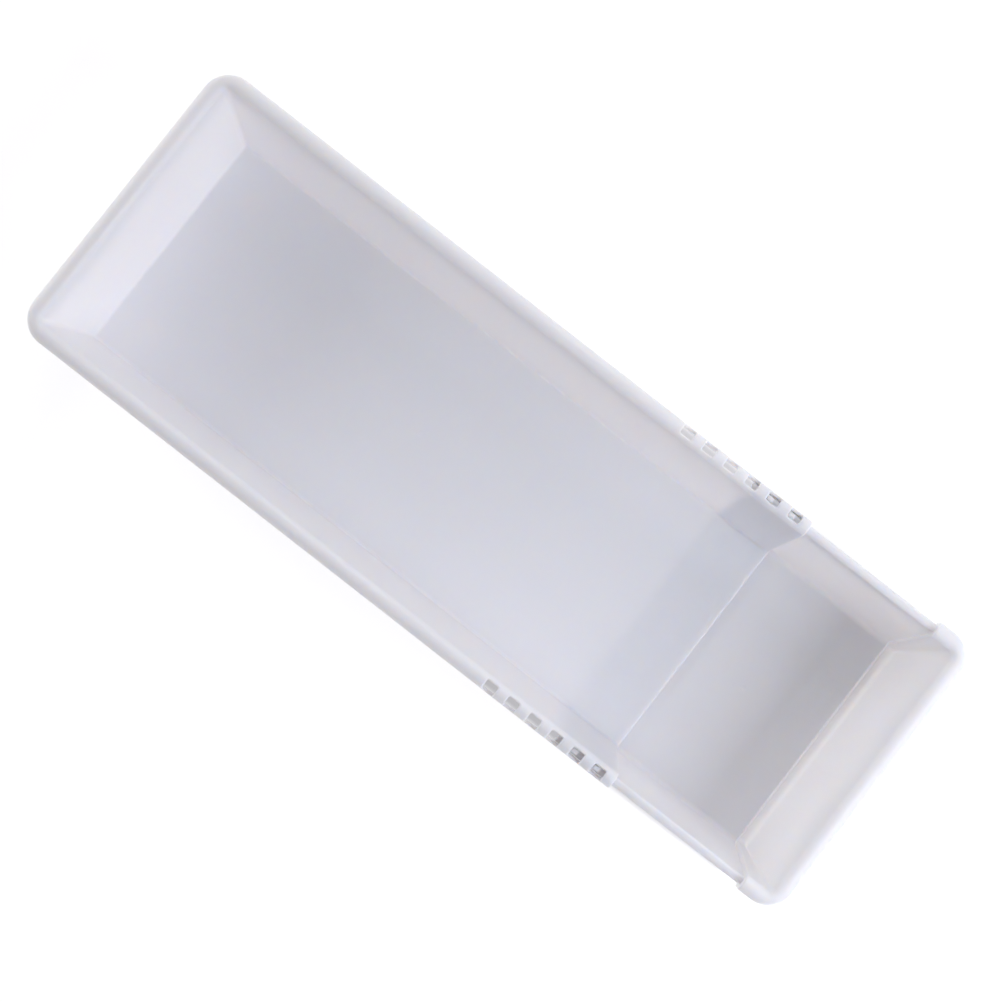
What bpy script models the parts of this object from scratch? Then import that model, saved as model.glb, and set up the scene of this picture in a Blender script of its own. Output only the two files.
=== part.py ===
"""Extendable counting tray: a long upper tray and a short lower tray that telescope.

Both trays are thin injection mouldings of one cross-section: a flat floor, two drafted walls and a
rolled rim that turns down into a short lip. The lower tray repeats that section one wall thickness
further out, so the upper tray's rim hooks over it and its floor lies on the lower tray's floor. At its
far end the lower tray steps back up to the upper tray's section and closes in an end cap of full size.

Metres, +Z up. X runs along the tray towards the cap, and Z = 0 is the table under the middle of it.
"""

import math

import bmesh
import bpy

# Driving dimensions of the tray, drawn out to its last notch
LENGTH = 0.2830
WIDTH = 0.0990
HEIGHT = 0.0500
UPPER_LENGTH = 0.2215
CAP_LENGTH = 0.0137
HIDDEN_LENGTH = 0.0210

# Moulded section
WALL = 0.0010
FLOOR = 0.0012
NEST_GAP = 0.0003
RIM_DROP = 0.0011
RIM_WIDTH = 0.0051
SIDE_RUN = 0.0054
LIP_DEPTH = 0.0070
FLOOR_FILLET = 0.0010
SHOULDER_RADIUS = 0.0028
RIM_EDGE_RADIUS = 0.0024
LEAST_RADIUS = 0.0003

# Corners seen from above: round the flank, inside the walls and round the floor
OUTER_CORNER = 0.0088
INNER_CORNER = 0.0018
FLOOR_CORNER = 0.0009

# Floor edges of the cap, whose end wall rises just behind the step
CAP_FLOOR_FILLET = 0.0018
CAP_FLOOR_CORNER = 0.0004

# Notches in the upper rim, and the nubs of the lower rim that click into them
NOTCH_COUNT = 6
NOTCH_PITCH = 0.0080
NOTCH_LENGTH = 0.0041
NOTCH_WIDTH = 0.00365
NOTCH_DEPTH = 0.0027
NOTCH_CORNER = 0.0006
NOTCH_END_MARGIN = 0.0035
NUB_COUNT = 2
NUB_LENGTH = 0.0018
NUB_WIDTH = 0.0011
NUB_HEIGHT = 0.0007
NUB_ROOT = 0.0007
NUB_BEVEL = 0.0004
NUB_INSET = 0.0019
NUB_OFFSET = -0.0009

# Moulded feet under the closed end of the upper tray, which the lower tray doesn't carry
FOOT_RADIUS = 0.0045
FOOT_ROOT = 0.0004
FOOT_X_INSET = 0.0235
FOOT_Y = 0.0260

# Facets of each rounded stretch
FILLET_STEPS = 3
SHOULDER_STEPS = 5
CORNER_STEPS = 8
BEVEL_STEPS = 2
FOOT_SIDES = 24
SHARP_ANGLE = math.radians(35)

# Translucent white polypropylene
UPPER_COLOUR = (0.86, 0.87, 0.90, 1.0)
LOWER_COLOUR = (0.88, 0.87, 0.89, 1.0)
PLASTIC_ROUGHNESS = 0.38

# Levels worked out from the dimensions above
HALF_WIDTH = WIDTH / 2
CLOSED_END_X = -LENGTH / 2
CAP_END_X = LENGTH / 2
OPEN_EDGE_X = CLOSED_END_X + UPPER_LENGTH
STEP_X = CAP_END_X - CAP_LENGTH
WEB_X = STEP_X + WALL
HIDDEN_END_X = OPEN_EDGE_X - HIDDEN_LENGTH
UPPER_FLOOR_Z = 2 * FLOOR + NEST_GAP
LIP_Z = HEIGHT - LIP_DEPTH
DRAFT = SIDE_RUN / (HEIGHT - UPPER_FLOOR_Z)


def clear_scene():
    """Removes whatever the scene holds, so that the script starts from nothing."""
    for item in list(bpy.data.objects):
        bpy.data.objects.remove(item, do_unlink=True)


def rounded_corner(before, corner, after, radius, steps):
    """Arc of the given radius that replaces a corner of the path before-corner-after."""
    to_before = math.atan2(before[1] - corner[1], before[0] - corner[0])
    to_after = math.atan2(after[1] - corner[1], after[0] - corner[0])
    turn = math.remainder(to_after - to_before, math.tau)
    half = abs(turn) / 2
    middle = to_before + turn / 2
    reach = radius / math.sin(half)
    centre = (corner[0] + reach * math.cos(middle), corner[1] + reach * math.sin(middle))
    swing = math.copysign(math.pi - 2 * half, -turn)
    start = middle + math.pi - swing / 2
    angles = [start + swing * step / steps for step in range(steps + 1)]
    return [(centre[0] + radius * math.cos(a), centre[1] + radius * math.sin(a)) for a in angles]


def skin(side, floor_drop, rim_drop, fillet=FLOOR_FILLET, corner=FLOOR_CORNER):
    """One surface of the section, as (inset, height, corner radius) from the floor out to the lip.

    The surface lies the given distances below the upper tray's own top surface: side behind its walls
    and flank, floor_drop under its floor and rim_drop under its rim. The fillet joins floor and wall,
    and corner is its radius seen from above. Over the rim the corner widens from the tight inside of
    the walls to the broad round of the flank.
    """
    floor_z = UPPER_FLOOR_Z - floor_drop
    rim_z = HEIGHT - rim_drop
    behind_wall = side * math.hypot(1.0, DRAFT)
    floor_inset = RIM_WIDTH + SIDE_RUN - behind_wall + DRAFT * floor_drop
    rim_inset = RIM_WIDTH - behind_wall + DRAFT * rim_drop
    inside = (HALF_WIDTH, floor_z)
    floor_edge = (floor_inset, floor_z)
    rim_edge = (rim_inset, rim_z)
    shoulder = (side, rim_z)
    lip = (side, LIP_Z)
    rim_radius = max(RIM_EDGE_RADIUS - side, LEAST_RADIUS)
    foot_arc = rounded_corner(inside, floor_edge, rim_edge, fillet + side, FILLET_STEPS)
    rim_arc = rounded_corner(floor_edge, rim_edge, shoulder, rim_radius, FILLET_STEPS)
    flank_arc = rounded_corner(rim_edge, shoulder, lip, SHOULDER_RADIUS - side, SHOULDER_STEPS)
    wall_corner = INNER_CORNER + side
    rim_start = rim_arc[0][0]
    widening = (OUTER_CORNER - side - wall_corner) / (rim_start - side)
    points = [(inset, z, corner) for inset, z in foot_arc]
    points += [
        (inset, z, wall_corner + widening * (rim_start - inset)) for inset, z in rim_arc + flank_arc
    ]
    points.append((*lip, OUTER_CORNER - side))
    return points


def closed_end(inset, height, radius, end_x, facing):
    """Half of one level round a closed end: a corner arc from the +Y side to the middle of the end."""
    centre_x = end_x - facing * (inset + radius)
    centre_y = HALF_WIDTH - inset - radius
    angles = [math.pi / 2 * step / CORNER_STEPS for step in range(CORNER_STEPS + 1)]
    return [
        (centre_x + facing * radius * math.sin(a), centre_y + radius * math.cos(a), height)
        for a in angles
    ]


def mirrored(half_ring):
    """The whole level: the +Y half, then its mirror image back along the -Y side."""
    return half_ring + [(x, -y, z) for x, y, z in reversed(half_ring)]


def upper_rings(surface):
    """Levels of one surface of the upper tray, from its open edge round the closed end and back."""
    rings = []
    for inset, height, radius in surface:
        open_edge = (OPEN_EDGE_X, HALF_WIDTH - inset, height)
        end = closed_end(inset, height, radius, CLOSED_END_X, -1.0)
        rings.append(mirrored([open_edge] + end))
    return rings


def lower_rings(nested, full, joint_x):
    """Levels of one surface of the lower tray: the nested section, the step, then the cap's end.

    The first list of joint_x holds the places along X where the nested surface has an edge, and the
    second list those where the full-size surface has one.
    """
    rings = []
    for (inset, height, _), (cap_inset, cap_height, radius) in zip(nested, full):
        side = [(x, HALF_WIDTH - inset, height) for x in joint_x[0]]
        side += [(x, HALF_WIDTH - cap_inset, cap_height) for x in joint_x[1]]
        end = closed_end(cap_inset, cap_height, radius, CAP_END_X, 1.0)
        rings.append(mirrored(side + end))
    return rings


def shell(name, top, under, origin):
    """Closed thin moulding between its top surface and its under surface."""
    build = bmesh.new()
    surfaces = []
    for rings in (top, under):
        verts = [[build.verts.new((x - origin, y, z)) for x, y, z in ring] for ring in rings]
        surfaces.append(verts)
        count = len(verts[0])
        for inner, outer in zip(verts, verts[1:]):
            for j in range(count - 1):
                build.faces.new((inner[j], inner[j + 1], outer[j + 1], outer[j]))
        for j in range(count // 2 - 1):
            build.faces.new((verts[0][j], verts[0][j + 1], verts[0][-j - 2], verts[0][-j - 1]))
    top_verts, under_verts = surfaces
    close_lip(build, top_verts[-1], under_verts[-1])
    for level in range(len(top_verts) - 1):
        for j in (0, -1):
            edge_face = (
                top_verts[level][j],
                top_verts[level + 1][j],
                under_verts[level + 1][j],
                under_verts[level][j],
            )
            build.faces.new(edge_face)
    build.faces.new((top_verts[0][0], top_verts[0][-1], under_verts[0][-1], under_verts[0][0]))
    bmesh.ops.recalc_face_normals(build, faces=build.faces)
    return finished_object(build, name)


def close_lip(build, top, under):
    """Closes the lower edge of the lip, in triangles whose split mirrors from side to side.

    Beside the step some corners of the strip lie in line, and this split keeps every triangle open.
    """
    half = len(top) // 2
    for j in range(len(top) - 1):
        near, far = (j, j + 1) if j < half else (j + 1, j)
        build.faces.new((top[near], top[far], under[far]))
        build.faces.new((top[near], under[far], under[near]))


def finished_object(build, name):
    """Turns the bmesh into an object with smooth rounds and sharp edges."""
    mesh = bpy.data.meshes.new(name)
    build.to_mesh(mesh)
    build.free()
    mesh.shade_smooth()
    mesh.set_sharp_from_angle(angle=SHARP_ANGLE)
    made = bpy.data.objects.new(name, mesh)
    bpy.context.scene.collection.objects.link(made)
    return made


def add_box(build, low, high):
    """Adds a box between two corners to the bmesh and returns its vertices."""
    box = bmesh.ops.create_cube(build, size=1.0)["verts"]
    for vert in box:
        vert.co = [
            low[axis] if vert.co[axis] < 0.0 else high[axis] for axis in range(3)
        ]
    return box


def upright_edges(verts, wanted):
    """Edges of the box that run along Z and whose Y passes the given test."""
    edges = {edge for vert in verts for edge in vert.link_edges}
    return [
        edge
        for edge in edges
        if abs(edge.verts[0].co.z - edge.verts[1].co.z) > LEAST_RADIUS and wanted(edge.verts[0].co.y)
    ]


def round_edges(build, edges, radius):
    """Rounds the given edges of a box in a few facets."""
    bmesh.ops.bevel(build, geom=edges, offset=radius, segments=BEVEL_STEPS, affect="EDGES")


def notch_centres():
    """X of each notch, from the one next to the open edge inwards."""
    first = OPEN_EDGE_X - NOTCH_END_MARGIN - NOTCH_LENGTH / 2
    return [first - index * NOTCH_PITCH for index in range(NOTCH_COUNT)]


def notch_cutter():
    """Blocks that cut the notches through the outer shoulder of both side rims."""
    build = bmesh.new()
    inner_y = HALF_WIDTH - NOTCH_WIDTH
    outer_y = HALF_WIDTH + NOTCH_WIDTH
    bottom = HEIGHT - NOTCH_DEPTH
    top = HEIGHT + NOTCH_DEPTH
    for side in (1.0, -1.0):
        for x in notch_centres():
            low_y = min(side * inner_y, side * outer_y)
            high_y = max(side * inner_y, side * outer_y)
            low = (x - NOTCH_LENGTH / 2, low_y, bottom)
            high = (x + NOTCH_LENGTH / 2, high_y, top)
            block = add_box(build, low, high)
            rounded = upright_edges(block, lambda y: abs(y) < HALF_WIDTH)
            round_edges(build, rounded, NOTCH_CORNER)
    return helper_object(build, "notch_cutter")


def nub_blank():
    """Small rounded nubs that stand on the lower rim, behind the edge of the first notches."""
    build = bmesh.new()
    rim_z = HEIGHT - WALL - RIM_DROP
    for side in (1.0, -1.0):
        for notch_x in notch_centres()[:NUB_COUNT]:
            x = notch_x + NUB_OFFSET - HIDDEN_END_X
            inner = side * (HALF_WIDTH - NUB_INSET - NUB_WIDTH)
            outer = side * (HALF_WIDTH - NUB_INSET)
            low = (x - NUB_LENGTH / 2, min(inner, outer), rim_z - NUB_ROOT)
            high = (x + NUB_LENGTH / 2, max(inner, outer), rim_z + NUB_HEIGHT)
            block = add_box(build, low, high)
            edges = {edge for vert in block for edge in vert.link_edges}
            rounded = [e for e in edges if max(e.verts[0].co.z, e.verts[1].co.z) > rim_z]
            round_edges(build, rounded, NUB_BEVEL)
    return helper_object(build, "nub_blank")


def foot_blank():
    """Two round feet that reach from the underside of the closed end down to the table."""
    build = bmesh.new()
    height = FLOOR + NEST_GAP + FOOT_ROOT
    for side in (1.0, -1.0):
        foot = bmesh.ops.create_cone(
            build,
            cap_ends=True,
            segments=FOOT_SIDES,
            radius1=FOOT_RADIUS,
            radius2=FOOT_RADIUS + FOOT_ROOT,
            depth=height,
        )
        place = (CLOSED_END_X + FOOT_X_INSET, side * FOOT_Y, height / 2)
        bmesh.ops.translate(build, verts=foot["verts"], vec=place)
    return helper_object(build, "foot_blank")


def helper_object(build, name):
    """A guide body that a Boolean reads. It isn't a piece of the tray."""
    made = finished_object(build, name)
    made.hide_render = True
    made.display_type = "WIRE"
    return made


def combine(target, helper, operation):
    """Joins a guide body to the tray or cuts it out of the tray."""
    modifier = target.modifiers.new(helper.name, "BOOLEAN")
    modifier.operation = operation
    modifier.solver = "EXACT"
    modifier.object = helper


def plastic(name, colour):
    """White moulded plastic with a satin surface."""
    material = bpy.data.materials.new(name)
    material.use_nodes = True
    shader = material.node_tree.nodes["Principled BSDF"]
    shader.inputs["Base Color"].default_value = colour
    shader.inputs["Roughness"].default_value = PLASTIC_ROUGHNESS
    shader.inputs["Metallic"].default_value = 0.0
    return material


def make_upper_tray():
    """The long tray: closed at its left end, open at its right end, with notches in its side rims."""
    top = upper_rings(skin(0.0, 0.0, 0.0))
    under = upper_rings(skin(WALL, FLOOR, WALL, corner=FLOOR_CORNER + WALL))
    tray = shell("upper_tray", top, under, 0.0)
    combine(tray, foot_blank(), "UNION")
    combine(tray, notch_cutter(), "DIFFERENCE")
    tray.data.materials.append(plastic("upper_tray_plastic", UPPER_COLOUR))
    return tray


def make_lower_tray():
    """The short tray: nested section, step web and full-size end cap in one moulding."""
    nested_top = skin(WALL + NEST_GAP, FLOOR + NEST_GAP, WALL + RIM_DROP)
    nested_under = skin(2 * WALL + NEST_GAP, 2 * FLOOR + NEST_GAP, 2 * WALL + RIM_DROP)
    top_places = ([HIDDEN_END_X, STEP_X], [STEP_X, WEB_X])
    under_places = ([HIDDEN_END_X, STEP_X, WEB_X], [WEB_X])
    cap_top = skin(0.0, 0.0, 0.0, CAP_FLOOR_FILLET, CAP_FLOOR_CORNER)
    cap_under = skin(WALL, FLOOR, WALL, CAP_FLOOR_FILLET, CAP_FLOOR_CORNER)
    top = lower_rings(nested_top, cap_top, top_places)
    under = lower_rings(nested_under, cap_under, under_places)
    tray = shell("lower_tray", top, under, HIDDEN_END_X)
    blank = nub_blank()
    combine(tray, blank, "UNION")
    tray.data.materials.append(plastic("lower_tray_plastic", LOWER_COLOUR))
    slide = bpy.data.objects.new("extension_slide", None)
    bpy.context.scene.collection.objects.link(slide)
    slide.location = (HIDDEN_END_X, 0.0, 0.0)
    tray.parent = slide
    blank.parent = slide
    return tray


def main():
    clear_scene()
    make_upper_tray()
    make_lower_tray()


main()
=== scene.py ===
"""Looks of the extendable counting tray: smooth mouldings, satin plastic, studio and camera.

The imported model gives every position. Each tray is built again here as one smooth moulding with
rounded free edges, and stands for its plain CAD solid. Metres, +Z up, and X runs along the tray
towards the end cap.
"""

import math

import bmesh
import bpy
import numpy as np
from mathutils import Matrix, Vector


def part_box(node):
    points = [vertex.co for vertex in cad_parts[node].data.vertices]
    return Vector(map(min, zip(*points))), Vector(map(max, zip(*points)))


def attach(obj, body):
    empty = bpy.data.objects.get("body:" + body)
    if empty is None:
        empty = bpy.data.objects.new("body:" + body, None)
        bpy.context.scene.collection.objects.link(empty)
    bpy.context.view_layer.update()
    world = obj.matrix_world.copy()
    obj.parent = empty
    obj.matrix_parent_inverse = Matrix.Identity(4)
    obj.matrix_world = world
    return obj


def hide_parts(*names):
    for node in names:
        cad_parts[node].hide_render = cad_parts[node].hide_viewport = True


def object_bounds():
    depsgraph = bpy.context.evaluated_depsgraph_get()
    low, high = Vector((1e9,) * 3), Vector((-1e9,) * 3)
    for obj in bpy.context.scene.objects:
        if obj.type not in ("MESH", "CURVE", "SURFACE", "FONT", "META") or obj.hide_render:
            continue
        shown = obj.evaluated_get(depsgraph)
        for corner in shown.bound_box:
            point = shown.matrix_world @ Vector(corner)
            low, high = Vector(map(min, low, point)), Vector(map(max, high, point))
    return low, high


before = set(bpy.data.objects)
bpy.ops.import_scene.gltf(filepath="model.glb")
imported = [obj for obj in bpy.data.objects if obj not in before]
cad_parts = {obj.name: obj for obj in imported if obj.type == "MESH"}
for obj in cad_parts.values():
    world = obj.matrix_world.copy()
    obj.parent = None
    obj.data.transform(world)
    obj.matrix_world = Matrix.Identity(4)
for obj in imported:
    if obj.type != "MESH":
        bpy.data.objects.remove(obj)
CAD_LOW, CAD_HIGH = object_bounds()

# Places read from the frame
UPPER_LOW, UPPER_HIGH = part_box("upper_tray")
LOWER_LOW, LOWER_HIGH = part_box("lower_tray")
CLOSED_END_X = UPPER_LOW[0]
OPEN_EDGE_X = UPPER_HIGH[0]
HIDDEN_END_X = LOWER_LOW[0]
CAP_END_X = LOWER_HIGH[0]
HALF_WIDTH = UPPER_HIGH[1]
HEIGHT = UPPER_HIGH[2]

# The moulded section, as in the CAD
WALL = 0.0010
FLOOR = 0.0012
NEST_GAP = 0.0003
RIM_DROP = 0.0011
RIM_WIDTH = 0.0051
SIDE_RUN = 0.0054
LIP_DEPTH = 0.0070
FLOOR_FILLET = 0.0010
SHOULDER_RADIUS = 0.0028
RIM_EDGE_RADIUS = 0.0024
LEAST_RADIUS = 0.0003
OUTER_CORNER = 0.0088
INNER_CORNER = 0.0018
FLOOR_CORNER = 0.0009
CAP_LENGTH = 0.0137
CAP_FLOOR_FILLET = 0.0018
CAP_FLOOR_CORNER = 0.0004
NOTCH_COUNT = 6
NOTCH_PITCH = 0.0080
NOTCH_LENGTH = 0.0041
NOTCH_WIDTH = 0.00365
NOTCH_DEPTH = 0.0027
NOTCH_CORNER = 0.0006
NOTCH_END_MARGIN = 0.0035
NUB_COUNT = 2
NUB_LENGTH = 0.0018
NUB_WIDTH = 0.0011
NUB_HEIGHT = 0.0007
NUB_INSET = 0.0019
NUB_OFFSET = -0.0009
FOOT_RADIUS = 0.0045
FOOT_X_INSET = 0.0235
FOOT_Y = 0.0260

STEP_X = CAP_END_X - CAP_LENGTH
WEB_X = STEP_X + WALL
UPPER_FLOOR_Z = 2 * FLOOR + NEST_GAP
LIP_Z = HEIGHT - LIP_DEPTH
DRAFT = SIDE_RUN / (HEIGHT - UPPER_FLOOR_Z)

# Fineness of the visible meshes
FILLET_STEPS = 8
RIM_STEPS = 10
SHOULDER_STEPS = 14
WALL_STEPS = 12
RIM_TOP_STEPS = 2
FLANK_STEPS = 5
LIP_STEPS = 5
CORNER_STEPS = 20
EDGE_STEPS = 6
SIDE_STEP = 0.0080
NOTCH_CELL_STEPS = 12
NOTCH_RIM_ROWS = 5
UPPER_END_STEPS = 2
LOWER_END_STEPS = 4
FLOOR_COLUMN = 0.0034
WELD = 1e-6

# Small moulded details
EDGE_ROUND = 0.00045
STEP_ROUND = 0.00035
STEP_SHARES = (0.0, 0.08, 0.35, 0.65)
GATE_RADIUS = 0.0014
GATE_HEIGHT = 0.00018
GATE_SPAN = 0.0022
DETAIL_STEP = 0.0002
NUB_SLOPE = 0.00025
FOOT_ROUND = 0.0003
FOOT_FIELD = 0.0080
FOOT_STEP = 0.0013

# Plastic, with noise scales in features per metre
PLASTIC_SHADE = (0.935, 0.935, 0.958, 1.0)
PLASTIC_LIGHT = (0.955, 0.952, 0.970, 1.0)
PLASTIC_IOR = 1.49
GLOW_BY_COLOUR = (1.0, 0.85, 0.7)
GLOW_DEPTH = 0.0020
NOISE_LOW = 0.35
NOISE_HIGH = 0.65
CLOUD_SCALE = 16.0
CLOUD_DETAIL = 3.0
HAZE_SCALE = 55.0
HAZE_DETAIL = 5.0
HAZE_ROUGHNESS = (0.34, 0.42)
GRAIN_SCALE = 1800.0
GRAIN_DETAIL = 2.0
GRAIN_STRENGTH = 0.25
GRAIN_HEIGHT = 0.00006
RUB_STRETCH = (0.04, 1.0, 1.0)
RUB_SCALE = 700.0
RUB_DETAIL = 4.0
RUB_ROUGHNESS = (0.0, 0.08)
RUB_HEIGHT = (0.0, 0.35)

# Soft boxes: degrees around from +X and above the table, distance, size, watts and colour
SOFT_BOXES = {
    "box_left": (180.0, 20.0, 1.20, 0.70, 5.15, (0.96, 0.96, 1.0)),
    "box_right": (0.0, 40.0, 0.70, 0.40, 2.64, (0.86, 0.88, 1.0)),
    "box_front": (270.0, 45.0, 1.20, 0.70, 1.10, (1.0, 0.85, 0.95)),
    "box_back_high": (90.0, 45.0, 1.20, 0.70, 2.60, (1.0, 0.90, 0.99)),
    "box_back_low": (90.0, 20.0, 1.20, 0.70, 2.35, (0.94, 1.0, 0.99)),
}
SKY_COLOUR = (1.0, 1.0, 1.0, 1.0)
SKY_STRENGTH = 0.15

# Paper: its glow is given in the painted shade under the tray and around it, with a fade between
# them
PAPER_REACH = 3.0
PAPER_GAP = 0.0003
PAPER_COLOUR = (0.65, 0.65, 0.65, 1.0)
PAPER_ROUGHNESS = 1.0
PAPER_GLOSS = 0.0
PAPER_GLOW_COLOUR = (1.0, 1.0, 1.0, 1.0)
# Glow in the painted shade under the tray, then on the open paper around it
PAPER_GLOW = (0.13, 0.62)
PAPER_FADE = 0.0028

# How far the painted shade, a patch of weaker paper glow, reaches past the low and the high corner
# of the tray's box
PAINTED_SHADE_PAST_LOW = (0.0020, -0.0007)
PAINTED_SHADE_PAST_HIGH = (-CAP_LENGTH, 0.0035)

# Camera
CAMERA_PLACE = (0.00779, -0.02734, 0.63842)
CAMERA_AIM = (0.00293, -0.00038, 0.0)
CAMERA_TURN = 38.01
CAMERA_LENS = 72.05
CAMERA_NEAR = 0.01


# ---------------------------------------------------------------- section of the moulding


def rounded_corner(before, corner, after, radius, steps):
    """Arc of the given radius that replaces a corner of the path before-corner-after."""
    to_before = math.atan2(before[1] - corner[1], before[0] - corner[0])
    to_after = math.atan2(after[1] - corner[1], after[0] - corner[0])
    turn = math.remainder(to_after - to_before, math.tau)
    half = abs(turn) / 2
    middle = to_before + turn / 2
    reach = radius / math.sin(half)
    centre = (corner[0] + reach * math.cos(middle), corner[1] + reach * math.sin(middle))
    swing = math.copysign(math.pi - 2 * half, -turn)
    start = middle + math.pi - swing / 2
    angles = [start + swing * step / steps for step in range(steps + 1)]
    return [(centre[0] + radius * math.cos(a), centre[1] + radius * math.sin(a)) for a in angles]


def between(first, last, steps):
    """Evenly spaced points strictly between two points."""
    return [
        tuple(a + (b - a) * step / steps for a, b in zip(first, last)) for step in range(1, steps)
    ]


def section(side, floor_drop, rim_drop, facing, fillet=FLOOR_FILLET, corner=FLOOR_CORNER):
    """One skin of the section, from the floor to the lip: rows of inset, height and corner radius.

    The skin lies the given distances outside and below the upper tray's top surface. Facing is +1
    for a top skin and -1 for an under skin. Their lips round off towards each other and meet.
    """
    floor_z = UPPER_FLOOR_Z - floor_drop
    rim_z = HEIGHT - rim_drop
    behind_wall = side * math.hypot(1.0, DRAFT)
    floor_inset = RIM_WIDTH + SIDE_RUN - behind_wall + DRAFT * floor_drop
    rim_inset = RIM_WIDTH - behind_wall + DRAFT * rim_drop
    half_wall = WALL / 2
    inside = (HALF_WIDTH, floor_z)
    floor_edge = (floor_inset, floor_z)
    rim_edge = (rim_inset, rim_z)
    shoulder = (side, rim_z)
    lip_top = (side, LIP_Z + half_wall)
    rim_radius = max(RIM_EDGE_RADIUS - side, LEAST_RADIUS)
    foot_arc = rounded_corner(inside, floor_edge, rim_edge, fillet + side, FILLET_STEPS)
    rim_arc = rounded_corner(floor_edge, rim_edge, shoulder, rim_radius, RIM_STEPS)
    flank_arc = rounded_corner(rim_edge, shoulder, lip_top, SHOULDER_RADIUS - side, SHOULDER_STEPS)
    lip_middle = side + facing * half_wall
    lip_angles = [math.pi / 2 * step / LIP_STEPS for step in range(1, LIP_STEPS + 1)]
    lip = [
        (lip_middle - facing * half_wall * math.cos(a), LIP_Z + half_wall - half_wall * math.sin(a))
        for a in lip_angles
    ]
    rim = rim_arc + between(rim_arc[-1], flank_arc[0], RIM_TOP_STEPS) + flank_arc
    flank = between(flank_arc[-1], lip_top, FLANK_STEPS) + [lip_top] + lip
    rows = [(inset, z, corner) for inset, z in foot_arc]
    wall_start = rows[-1]
    wall_corner = INNER_CORNER + side
    rows += between(wall_start, rim_arc[0] + (wall_corner,), WALL_STEPS)
    widening = (OUTER_CORNER - side - wall_corner) / (rim_arc[0][0] - side)
    rows += [(inset, z, wall_corner + widening * (rim_arc[0][0] - inset)) for inset, z in rim]
    rows += [(inset, z, OUTER_CORNER - inset) for inset, z in flank]
    return np.array(rows)


RIM_START = FILLET_STEPS + WALL_STEPS + RIM_STEPS
SHOULDER_END = RIM_START + RIM_TOP_STEPS + SHOULDER_STEPS


# ---------------------------------------------------------------- one moulding as a grid


def steps_between(start, end, step):
    """Places from start to end, both included, about one step apart."""
    count = max(1, round(abs(end - start) / step))
    return [start + (end - start) * k / count for k in range(count + 1)]


def free_edge(x, inwards):
    """Stations of a free edge that rounds from the middle of the wall to its skin."""
    angles = [math.pi / 2 * (1 - k / EDGE_STEPS) for k in range(EDGE_STEPS + 1)]
    return [
        (x + inwards * EDGE_ROUND * (1 - math.sin(a)), (1 - math.cos(a)) / 2, 0.0) for a in angles
    ]


def jog(x):
    """Stations where a skin steps up from the nested section to the full one over a round edge."""
    rise = [(x, 0.0, share) for share in STEP_SHARES]
    reached = STEP_SHARES[-1]
    angles = [math.pi / 2 * k / EDGE_STEPS for k in range(1, EDGE_STEPS + 1)]
    top = [
        (x + STEP_ROUND * (1 - math.cos(a)), 0.0, reached + (1.0 - reached) * math.sin(a))
        for a in angles
    ]
    return rise + top


def floor_columns(fine_bands):
    """Shares of the half width where the floor has lines of points, finer in some bands of Y."""
    half = HALF_WIDTH - RIM_WIDTH - SIDE_RUN
    reached = half
    side = []
    for outer, inner in fine_bands:
        side += steps_between(reached, outer, FLOOR_COLUMN)[1:]
        side += steps_between(outer, inner, FOOT_STEP)[1:]
        reached = inner
    side += steps_between(reached, GATE_SPAN, FLOOR_COLUMN)[1:-1]
    middle = steps_between(GATE_SPAN, -GATE_SPAN, DETAIL_STEP)
    return np.array(side + middle + [-y for y in reversed(side)]) / half


def block_of_cells(low, high, first, last):
    """Grid points around a block of cells, in order, and the cells inside it."""
    around = [(low, j) for j in range(first, last)]
    around += [(i, last) for i in range(low, high)]
    around += [(high, j) for j in range(last, first, -1)]
    around += [(i, first) for i in range(high, low, -1)]
    return around, [(i, j) for i in range(low, high) for j in range(first, last)]


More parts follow.
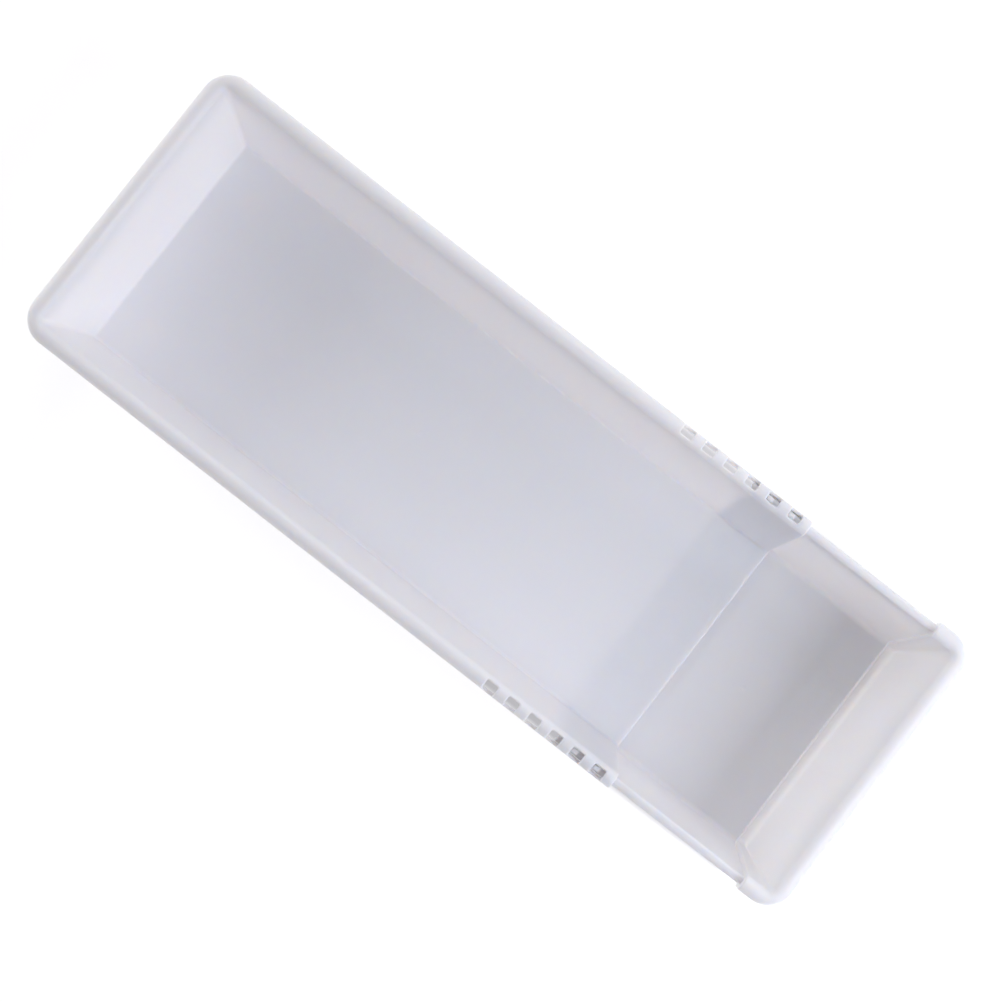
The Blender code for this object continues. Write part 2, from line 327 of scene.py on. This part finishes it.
class Moulding:
    """A thin tray shell between a top skin and an under skin that meet at every free edge.

    The skins are drawn at stations along the tray. A station is its X, the share by which the skin
    leans over to the other skin there, and the share by which it follows the closed end's section.
    """

    def __init__(self, skins, stations, end_steps, end_x, facing, relief=None, feet=()):
        """Each skin is (its own section, the other skin's section, its section at the closed end).

        The stations run from the free edge towards the corners of the closed end at end_x, and the
        end steps are the spans left up to those corners. Relief is a function that shapes small
        details into the top skin's points. Feet are the centres of the round feet under the floor.
        """
        self.feet = feet
        bands = [(FOOT_Y + FOOT_FIELD, FOOT_Y - FOOT_FIELD)] if feet else []
        self.columns = floor_columns(bands)
        self.end_x = end_x
        self.facing = facing
        self.end_steps = end_steps
        self.points = []
        self.faces = []
        self.open_quads = set()
        self.grids = [self.grid(skin, places) for skin, places in zip(skins, stations)]
        if relief:
            relief(self.grids[0])
        self.sections = skins
        self.stations = stations
        self.rows, self.ring = self.grids[0].shape[:2]
        self.half = (self.ring - len(self.columns)) // 2
        self.starts = [self.add(grid.reshape(-1, 3))[0] for grid in self.grids]

    def add(self, points):
        """Adds points and returns their indices."""
        start = len(self.points)
        self.points.extend(tuple(map(float, point)) for point in points)
        return list(range(start, len(self.points)))

    def grid(self, skin, stations):
        """Points of one skin: a ring for each row of the section."""
        near, far, full = skin
        x, rounding, step = (np.array(values)[None, :] for values in zip(*stations))
        inset = near[:, 0:1] + (far[:, 0:1] - near[:, 0:1]) * rounding
        height = near[:, 1:2] + (far[:, 1:2] - near[:, 1:2]) * rounding
        inset = inset + (full[:, 0:1] - inset) * step
        height = height + (full[:, 1:2] - height) * step
        corner_x = self.end_x - self.facing * (full[:, 0] + full[:, 2])
        share = np.arange(1, self.end_steps) / self.end_steps
        end_x = x[0, -1] + (corner_x[:, None] - x[0, -1]) * share
        side_x = np.hstack([np.repeat(x, len(near), axis=0), end_x])
        side_y = HALF_WIDTH - np.hstack([inset, np.repeat(full[:, 0:1], len(share), axis=1)])
        side_z = np.hstack([height, np.repeat(full[:, 1:2], len(share), axis=1)])
        angle = np.linspace(0.0, math.pi / 2, CORNER_STEPS + 1)
        radius = full[:, 2:3]
        turn_x = corner_x[:, None] + self.facing * radius * np.sin(angle)
        turn_y = HALF_WIDTH - full[:, 0:1] - radius * (1 - np.cos(angle))
        turn_z = np.repeat(full[:, 1:2], len(angle), axis=1)
        half_x = np.hstack([side_x, turn_x])
        half_y = np.hstack([side_y, turn_y])
        half_z = np.hstack([side_z, turn_z])
        across_x = np.repeat(turn_x[:, -1:], len(self.columns), axis=1)
        across_y = turn_y[:, -1:] * self.columns
        across_z = np.repeat(turn_z[:, -1:], len(self.columns), axis=1)
        ring_x = np.hstack([half_x, across_x, half_x[:, ::-1]])
        ring_y = np.hstack([half_y, across_y, -half_y[:, ::-1]])
        ring_z = np.hstack([half_z, across_z, half_z[:, ::-1]])
        return np.stack([ring_x, ring_y, ring_z], axis=2)

    def at(self, skin, row, place):
        """Index of a grid point."""
        return self.starts[skin] + row * self.ring + place % self.ring

    def notch_cells(self, centre_x):
        """Grid points around the window of a notch, and the cells that it takes out."""
        places = np.array([station[0] for station in self.stations[0]])
        first = int(np.argmin(abs(places - (centre_x + NOTCH_PITCH / 2))))
        last = int(np.argmin(abs(places - (centre_x - NOTCH_PITCH / 2))))
        return block_of_cells(RIM_START - NOTCH_RIM_ROWS, SHOULDER_END + 1, first, last)

    def open_notch(self, centre_x):
        """Leaves a rounded window through both side rims, its edges rounded from skin to skin."""
        near, far, _ = self.sections[0]
        lengths = np.hypot(*np.diff(near[:, :2], axis=0).T)
        along = np.concatenate([[0.0], np.cumsum(lengths)])
        around, inside = self.notch_cells(centre_x)
        rim = np.array([(along[i], self.stations[0][j][0]) for i, j in around])
        loops = notch_loops(rim, near, along, centre_x)
        for mirror in (1.0, -1.0):
            turned = [(i, j if mirror > 0 else self.ring - 1 - j) for i, j in around]
            rings = [[self.at(0, i, j) for i, j in turned]]
            for spots, depth in loops:
                insets = self.blend_column(near, far, along, spots[:, 0], depth, 0)
                heights = self.blend_column(near, far, along, spots[:, 0], depth, 1)
                sides = mirror * (HALF_WIDTH - insets)
                rings.append(self.add(np.stack([spots[:, 1], sides, heights], axis=1)))
            rings.append([self.at(1, i, j) for i, j in turned])
            self.bridge(rings)
        for i, j in inside:
            self.open_quads.add((i, j))
            self.open_quads.add((i, self.ring - 2 - j))

    @staticmethod
    def blend_column(near, far, along, spots, depth, column):
        """Inset or height at some lengths along the section, at a depth between the two skins."""
        outer = np.interp(spots, along, near[:, column])
        inner = np.interp(spots, along, far[:, column])
        return outer + (inner - outer) * depth

    def bridge(self, rings):
        """Quads between closed rings of equal length."""
        for inner, outer in zip(rings, rings[1:]):
            for k in range(len(inner)):
                after = (k + 1) % len(inner)
                self.faces.append((inner[k], inner[after], outer[after], outer[k]))

    def sheet(self, lines, left_open=()):
        """Quads between open lines of equal length, without the cells that stay open."""
        for i, (first, second) in enumerate(zip(lines, lines[1:])):
            for k in range(len(first) - 1):
                if (i, k) not in left_open:
                    self.faces.append((first[k], first[k + 1], second[k + 1], second[k]))

    def walls(self, skin):
        """Faces of the walls and the rim of one skin, around the notches."""
        for i in range(self.rows - 1):
            for j in range(self.ring - 1):
                if (i, j) in self.open_quads:
                    continue
                a, b = self.at(skin, i, j), self.at(skin, i, j + 1)
                self.faces.append((a, b, self.at(skin, i + 1, j + 1), self.at(skin, i + 1, j)))

    def floor(self, skin, gate_x=None, feet=()):
        """Floor of one skin in lines across the tray, with its gate mark or its feet."""
        edge = self.grids[skin][0]
        lines = []
        for j in range(self.half - 1):
            x, y, z = edge[j]
            across = [
                (x, y * share, z + gate_height(x, y * share, gate_x)) for share in self.columns
            ]
            back, front = self.at(skin, 0, j), self.at(skin, 0, self.ring - 1 - j)
            lines.append([back] + self.add(across) + [front])
        last = range(self.half - 1, self.ring - self.half + 1)
        lines.append([self.at(skin, 0, j) for j in last])
        left_open = [cell for centre in feet for cell in self.foot(lines, np.array(centre))]
        self.sheet(lines, set(left_open))

    def foot(self, lines, centre):
        """Grows a round foot out of a square of the floor, and returns the cells it takes."""
        grid = np.array([[self.points[index] for index in line] for line in lines])
        near = np.all(abs(grid[:, :, :2] - centre) < FOOT_FIELD, axis=2)
        rows, columns = np.nonzero(near)
        around, taken = block_of_cells(rows.min(), rows.max(), columns.min(), columns.max())
        away = np.array([grid[i, k, :2] - centre for i, k in around])
        outward = away / np.hypot(away[:, 0], away[:, 1])[:, None]
        rings = [[lines[i][k] for i, k in around]]
        for radius, z in foot_profile(grid[rows.min(), columns.min(), 2]):
            ring = np.column_stack([centre + outward * radius, np.full(len(around), z)])
            rings.append(self.add(ring))
        self.bridge(rings)
        middle = self.add([(centre[0], centre[1], 0.0)])[0]
        face = rings[-1]
        self.faces += [(a, b, middle) for a, b in zip(face, face[1:] + face[:1])]
        return taken

    def lips(self):
        """Strip between the two lips, which is closed to nothing except beside the step."""
        self.sheet([[self.at(skin, self.rows - 1, j) for j in range(self.ring)] for skin in (0, 1)])

    def make(self, name, gate_x):
        """The finished object, one closed mesh with its faces out."""
        for skin in (0, 1):
            self.walls(skin)
        self.floor(0, gate_x)
        self.floor(1, feet=self.feet)
        self.lips()
        mesh = bpy.data.meshes.new(name)
        mesh.from_pydata(self.points, [], self.faces)
        build = bmesh.new()
        build.from_mesh(mesh)
        bmesh.ops.remove_doubles(build, verts=build.verts, dist=WELD)
        loose = [vert for vert in build.verts if not vert.link_faces]
        bmesh.ops.delete(build, geom=loose, context="VERTS")
        bmesh.ops.recalc_face_normals(build, faces=build.faces)
        build.to_mesh(mesh)
        build.free()
        mesh.shade_smooth()
        made = bpy.data.objects.new(name, mesh)
        bpy.context.scene.collection.objects.link(made)
        return made


def notch_loops(rim, near, along, centre_x):
    """Loops through a notch, each with its depth, from the top skin to the under skin.

    A loop's points are lengths along the section and places along X. The rim is the loop of grid
    points around the notch, and near and along are the top skin's rows and their lengths along it.
    """
    onto_edge = math.asin((NOTCH_WIDTH - near[RIM_START, 0]) / RIM_EDGE_RADIUS)
    hole_low = along[RIM_START] - RIM_EDGE_RADIUS * onto_edge
    hole_high = along[SHOULDER_END] - (SHOULDER_RADIUS - NOTCH_DEPTH)
    centre = np.array([(hole_low + hole_high) / 2, centre_x])
    half = np.array([(hole_high - hole_low) / 2, NOTCH_LENGTH / 2])
    edge, outward = rounded_window(rim, centre, half, NOTCH_CORNER)
    clear = edge + outward * EDGE_ROUND
    loops = [((rim + clear) / 2, 0.0)]
    for k in range(2 * EDGE_STEPS + 1):
        angle = math.pi * k / (2 * EDGE_STEPS)
        back = EDGE_ROUND * (1 - math.sin(angle))
        loops.append((edge + outward * back, (1 - math.cos(angle)) / 2))
    loops.append(((rim + clear) / 2, 1.0))
    return loops


def rounded_window(around, centre, half, radius):
    """Points of a rounded rectangle that face the points around it, and their outward normals."""
    offset = around - centre
    reach = np.where(offset > 0.0, offset.max(axis=0), -offset.min(axis=0))
    flat = offset / reach * half
    corner = half - radius
    beyond = abs(flat) - corner
    in_corner = np.all(beyond > 0.0, axis=1)
    lengths = np.hypot(beyond[:, 0], beyond[:, 1])
    side = np.argmax(abs(flat) / half, axis=1)
    straight = np.eye(2)[side]
    bent = beyond / lengths[:, None]
    outward = np.where(in_corner[:, None], bent, straight) * np.sign(flat)
    arc = (corner + bent * radius) * np.sign(flat)
    return centre + np.where(in_corner[:, None], arc, flat), outward


def foot_profile(floor_z):
    """Radius and height from the floor's underside down to the rounded edge of a foot's face."""
    angles = [math.pi / 2 * k / EDGE_STEPS for k in range(EDGE_STEPS + 1)]
    base = FOOT_RADIUS + FOOT_ROUND
    root = [
        (base - FOOT_ROUND * math.sin(a), floor_z - FOOT_ROUND * (1 - math.cos(a))) for a in angles
    ]
    tip = FOOT_RADIUS - FOOT_ROUND
    edge = [(tip + FOOT_ROUND * math.cos(a), FOOT_ROUND * (1 - math.sin(a))) for a in angles]
    return root + edge


def gate_height(x, y, gate_x):
    """Height of the small round mark that the mould's gate leaves on a floor."""
    if gate_x is None:
        return 0.0
    away = math.hypot(x - gate_x, y) / GATE_RADIUS
    if away >= 1.0:
        return 0.0
    return GATE_HEIGHT * (0.5 + 0.5 * math.cos(math.pi * away))


def soft_step(distance, half, slope):
    """1 well inside the half width, falling smoothly to 0 one slope outside it."""
    share = np.clip((half + slope - distance) / slope, 0.0, 1.0)
    return share * share * (3 - 2 * share)


def raise_nubs(grid, centres):
    """Raises the nubs out of the lower tray's rim, each a small flat-topped bump."""
    rim_z = HEIGHT - WALL - RIM_DROP
    x, y, z = grid[:, :, 0], grid[:, :, 1], grid[:, :, 2]
    across = soft_step(abs(abs(y) - nub_y()), NUB_WIDTH / 2, NUB_SLOPE)
    above = z > rim_z - SHOULDER_RADIUS / 2
    for centre_x in centres:
        along = soft_step(abs(x - centre_x), NUB_LENGTH / 2, NUB_SLOPE)
        z += (rim_z + NUB_HEIGHT - z) * across * along * above


def nub_y():
    """Distance of the nubs from the middle of the tray."""
    return HALF_WIDTH - NUB_INSET - NUB_WIDTH / 2


def notch_centres():
    """X of each notch, from the one next to the open edge inwards."""
    first = OPEN_EDGE_X - NOTCH_END_MARGIN - NOTCH_LENGTH / 2
    return [first - index * NOTCH_PITCH for index in range(NOTCH_COUNT)]


# ---------------------------------------------------------------- the two trays


def detail_run(centre_x, reach, step=DETAIL_STEP):
    """Closely spaced stations on both sides of a small detail, towards -X."""
    return [(x, 0.0, 0.0) for x in steps_between(centre_x + reach, centre_x - reach, step)]


def plain_run(start_x, end_x):
    """Stations strictly between two places."""
    return [(x, 0.0, 0.0) for x in steps_between(start_x, end_x, SIDE_STEP)[1:-1]]


def make_upper_tray():
    """Long tray, closed at -X, with its notches, its gate mark and its feet."""
    top = section(0.0, 0.0, 0.0, 1.0)
    under = section(WALL, FLOOR, WALL, -1.0, corner=FLOOR_CORNER + WALL)
    centres = notch_centres()
    first_notch = centres[0] + NOTCH_PITCH / 2
    last_notch = centres[-1] - NOTCH_PITCH / 2
    notch_step = NOTCH_PITCH / NOTCH_CELL_STEPS
    gate_x = (CLOSED_END_X + OPEN_EDGE_X) / 2
    stations = free_edge(OPEN_EDGE_X, -1.0)
    stations += [(x, 0.0, 0.0) for x in steps_between(first_notch, last_notch, notch_step)]
    foot_x = CLOSED_END_X + FOOT_X_INSET
    stations += plain_run(last_notch, gate_x + GATE_SPAN)
    stations += detail_run(gate_x, GATE_SPAN)
    stations += plain_run(gate_x - GATE_SPAN, foot_x + FOOT_FIELD)
    stations += detail_run(foot_x, FOOT_FIELD, FOOT_STEP)
    tray = Moulding(
        skins=((top, under, top), (under, top, under)),
        stations=(stations, stations),
        end_steps=UPPER_END_STEPS,
        end_x=CLOSED_END_X,
        facing=-1.0,
        feet=[(foot_x, side * FOOT_Y) for side in (1.0, -1.0)],
    )
    for centre_x in centres:
        tray.open_notch(centre_x)
    return tray.make("upper_tray_moulding", gate_x)


def lower_side_stations(nubs, gate_x):
    """Stations of the nested section from its free edge to the step, fine at its small details."""
    side = free_edge(HIDDEN_END_X, 1.0)
    reached = HIDDEN_END_X + EDGE_ROUND
    reach = NUB_LENGTH / 2 + 2 * NUB_SLOPE
    spans = [(x, reach) for x in nubs] + [(gate_x, GATE_SPAN)]
    for centre_x, span in spans:
        side += plain_run(reached, centre_x - span)
        side += list(reversed(detail_run(centre_x, span)))
        reached = centre_x + span
    return side + plain_run(reached, STEP_X - STEP_ROUND) + [(STEP_X - STEP_ROUND, 0.0, 0.0)]


def make_lower_tray():
    """Short tray: nested section with nubs and a gate mark, the step, and the full-size cap."""
    nested_top = section(WALL + NEST_GAP, FLOOR + NEST_GAP, WALL + RIM_DROP, 1.0)
    nested_under = section(2 * WALL + NEST_GAP, 2 * FLOOR + NEST_GAP, 2 * WALL + RIM_DROP, -1.0)
    cap_top = section(0.0, 0.0, 0.0, 1.0, CAP_FLOOR_FILLET, CAP_FLOOR_CORNER)
    cap_under = section(WALL, FLOOR, WALL, -1.0, CAP_FLOOR_FILLET, CAP_FLOOR_CORNER)
    nubs = sorted(x + NUB_OFFSET for x in notch_centres()[:NUB_COUNT])
    gate_x = (HIDDEN_END_X + CAP_END_X) / 2
    side = lower_side_stations(nubs, gate_x)
    top_jog = jog(STEP_X)
    under_jog = [(STEP_X + WEB_X - x, 0.0, 1.0 - share) for x, _, share in reversed(top_jog)]
    top_stations = side + top_jog + [(WEB_X, 0.0, 1.0)]
    under_stations = side + [(STEP_X, 0.0, 0.0)] + under_jog
    tray = Moulding(
        skins=((nested_top, nested_under, cap_top), (nested_under, nested_top, cap_under)),
        stations=(top_stations, under_stations),
        end_steps=LOWER_END_STEPS,
        end_x=CAP_END_X,
        facing=1.0,
        relief=lambda grid: raise_nubs(grid, nubs),
    )
    return tray.make("lower_tray_moulding", gate_x)


# ---------------------------------------------------------------- plastic


def add_node(tree, kind, links=(), **values):
    """Adds a node, sets its values and links it. A value named after an input sets that input."""
    made = tree.nodes.new(kind)
    for name, value in values.items():
        label = name.replace("_", " ")
        if label in made.inputs:
            made.inputs[label].default_value = value
        else:
            setattr(made, name, value)
    for source, target in links:
        tree.links.new(source, made.inputs[target])
    return made


def remap(tree, source, low, high):
    """Turns a texture's middle values into a number from low to high."""
    ramp = add_node(
        tree,
        "ShaderNodeMapRange",
        links=[(source, "Value")],
        clamp=True,
    )
    ramp.inputs["From Min"].default_value = NOISE_LOW
    ramp.inputs["From Max"].default_value = NOISE_HIGH
    ramp.inputs["To Min"].default_value = low
    ramp.inputs["To Max"].default_value = high
    return ramp.outputs["Result"]


def noise(tree, place, scale, detail):
    """A noise texture that fills the plastic, with its scale in features per metre."""
    return add_node(
        tree,
        "ShaderNodeTexNoise",
        links=[(place, "Vector")],
        Scale=scale,
        Detail=detail,
    )


def plastic_colour(tree, place):
    """Faint clouds between two whites."""
    clouds = noise(tree, place, CLOUD_SCALE, CLOUD_DETAIL).outputs["Fac"]
    colour = tree.nodes.new("ShaderNodeMix")
    colour.data_type = "RGBA"
    colour.inputs["A"].default_value = PLASTIC_SHADE
    colour.inputs["B"].default_value = PLASTIC_LIGHT
    tree.links.new(remap(tree, clouds, 0.0, 1.0), colour.inputs["Factor"])
    return colour.outputs["Result"]


def plastic_roughness(tree, place, rubs):
    """Satin that varies in wide patches, and a little more where the plastic is rubbed."""
    haze = noise(tree, place, HAZE_SCALE, HAZE_DETAIL).outputs["Fac"]
    gloss = add_node(
        tree,
        "ShaderNodeMath",
        links=[(remap(tree, haze, *HAZE_ROUGHNESS), 0), (remap(tree, rubs, *RUB_ROUGHNESS), 1)],
        operation="ADD",
    )
    return gloss.outputs["Value"]


def plastic_relief(tree, place, rubs):
    """Fine grain of the mould with rub marks along the tray, as a bumped normal."""
    grain = noise(tree, place, GRAIN_SCALE, GRAIN_DETAIL).outputs["Fac"]
    relief = add_node(
        tree,
        "ShaderNodeMath",
        links=[(grain, 0), (remap(tree, rubs, *RUB_HEIGHT), 1)],
        operation="ADD",
    )
    bump = add_node(
        tree,
        "ShaderNodeBump",
        links=[(relief.outputs["Value"], "Height")],
        Strength=GRAIN_STRENGTH,
        Distance=GRAIN_HEIGHT,
    )
    return bump.outputs["Normal"]


def polypropylene():
    """Satin white polypropylene: light sinks in and glows through the thin walls."""
    material = bpy.data.materials.new("satin_white_polypropylene")
    material.use_nodes = True
    tree = material.node_tree
    shader = tree.nodes["Principled BSDF"]
    place = tree.nodes.new("ShaderNodeTexCoord").outputs["Object"]
    drawn = add_node(tree, "ShaderNodeMapping", links=[(place, "Vector")], Scale=RUB_STRETCH)
    rubs = noise(tree, drawn.outputs["Vector"], RUB_SCALE, RUB_DETAIL).outputs["Fac"]
    tree.links.new(plastic_colour(tree, place), shader.inputs["Base Color"])
    tree.links.new(plastic_roughness(tree, place, rubs), shader.inputs["Roughness"])
    tree.links.new(plastic_relief(tree, place, rubs), shader.inputs["Normal"])
    shader.inputs["IOR"].default_value = PLASTIC_IOR
    shader.inputs["Subsurface Weight"].default_value = 1.0
    shader.inputs["Subsurface Radius"].default_value = GLOW_BY_COLOUR
    shader.inputs["Subsurface Scale"].default_value = GLOW_DEPTH
    return material


def dress(piece, body, node, material):
    """Gives a piece its plastic and puts it in the place of its CAD solid."""
    piece.data.materials.clear()
    piece.data.materials.append(material)
    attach(piece, body)
    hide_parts(node)


# ---------------------------------------------------------------- studio and camera


def soft_box(name, around, above, distance, size, power, colour):
    """Large square light at an angle around and above the tray, turned to its middle."""
    light = bpy.data.lights.new(name, "AREA")
    light.shape = "SQUARE"
    light.size = size
    light.energy = power
    light.color = colour
    holder = bpy.data.objects.new(name, light)
    bpy.context.scene.collection.objects.link(holder)
    level = math.cos(math.radians(above))
    towards = Vector(
        (
            level * math.cos(math.radians(around)),
            level * math.sin(math.radians(around)),
            math.sin(math.radians(above)),
        )
    )
    holder.location = towards * distance
    holder.rotation_euler = (-towards).to_track_quat("-Z", "Y").to_euler()


def distance_outside(tree, low, high):
    """Distance of a place on the paper from the rectangle between two corners, 0 inside it."""
    place = tree.nodes.new("ShaderNodeTexCoord").outputs["Object"]
    steps = {
        "centred": ("SUBTRACT", (low + high) / 2),
        "folded": ("ABSOLUTE", (0.0, 0.0)),
        "beyond": ("SUBTRACT", (high - low) / 2),
        "outside": ("MAXIMUM", (0.0, 0.0)),
    }
    for label, (operation, other) in steps.items():
        step = add_node(tree, "ShaderNodeVectorMath", links=[(place, 0)], operation=operation)
        step.label = label
        step.inputs[1].default_value = (*other, 0.0)
        place = step.outputs["Vector"]
    away = add_node(tree, "ShaderNodeVectorMath", links=[(place, 0)], operation="LENGTH")
    return away.outputs["Value"]


def paper_material():
    """White paper that glows around the tray, with a soft painted shade under it up to the end cap.

    The painted shade reaches a little past the back rim, so that both rows of notches look onto it.
    """
    material = bpy.data.materials.new("white_paper")
    material.use_nodes = True
    tree = material.node_tree
    shader = tree.nodes["Principled BSDF"]
    shader.inputs["Base Color"].default_value = PAPER_COLOUR
    shader.inputs["Roughness"].default_value = PAPER_ROUGHNESS
    shader.inputs["Specular IOR Level"].default_value = PAPER_GLOSS
    shader.inputs["Emission Color"].default_value = PAPER_GLOW_COLOUR
    low = np.array(CAD_LOW[:2]) - PAINTED_SHADE_PAST_LOW
    high = np.array(CAD_HIGH[:2]) + PAINTED_SHADE_PAST_HIGH
    # Painted shade: the paper glows less under the tray and fades up to full glow outside it
    glow = add_node(
        tree,
        "ShaderNodeMapRange",
        links=[(distance_outside(tree, low, high), "Value")],
        interpolation_type="SMOOTHSTEP",
    )
    glow.inputs["From Max"].default_value = PAPER_FADE
    glow.inputs["To Min"].default_value, glow.inputs["To Max"].default_value = PAPER_GLOW
    tree.links.new(glow.outputs["Result"], shader.inputs["Emission Strength"])
    return material


def make_paper():
    """Wide sheet of glowing white paper under the tray."""
    build = bmesh.new()
    bmesh.ops.create_grid(build, x_segments=1, y_segments=1, size=PAPER_REACH)
    mesh = bpy.data.meshes.new("paper")
    build.to_mesh(mesh)
    build.free()
    paper = bpy.data.objects.new("paper", mesh)
    paper.location.z = -PAPER_GAP
    bpy.context.scene.collection.objects.link(paper)
    mesh.materials.append(paper_material())


def make_camera():
    """Camera nearly straight above the tray, turned so that the tray lies along the diagonal."""
    lens = bpy.data.cameras.new("camera")
    lens.lens = CAMERA_LENS
    lens.clip_start = CAMERA_NEAR
    camera = bpy.data.objects.new("camera", lens)
    bpy.context.scene.collection.objects.link(camera)
    place = Vector(CAMERA_PLACE)
    back = (place - Vector(CAMERA_AIM)).normalized()
    turn = math.radians(CAMERA_TURN)
    level = Vector((math.cos(turn), math.sin(turn), 0.0))
    right = (level - back * level.dot(back)).normalized()
    axes = Matrix((right, back.cross(right), back)).transposed()
    camera.matrix_world = Matrix.Translation(place) @ axes.to_4x4()
    bpy.context.scene.camera = camera


def light_studio():
    """Soft boxes on the four sides, a faint pale sky, and a view that keeps white paper white."""
    for name, settings in SOFT_BOXES.items():
        soft_box(name, *settings)
    sky = bpy.data.worlds.new("sky")
    sky.use_nodes = True
    background = sky.node_tree.nodes["Background"]
    background.inputs["Color"].default_value = SKY_COLOUR
    background.inputs["Strength"].default_value = SKY_STRENGTH
    bpy.context.scene.world = sky
    bpy.context.scene.view_settings.view_transform = "Standard"


def main():
    """Builds both mouldings, the studio and the camera."""
    plastic = polypropylene()
    dress(make_upper_tray(), "upper_tray_body", "upper_tray", plastic)
    dress(make_lower_tray(), "lower_tray_body", "lower_tray", plastic)
    make_paper()
    light_studio()
    make_camera()


main()
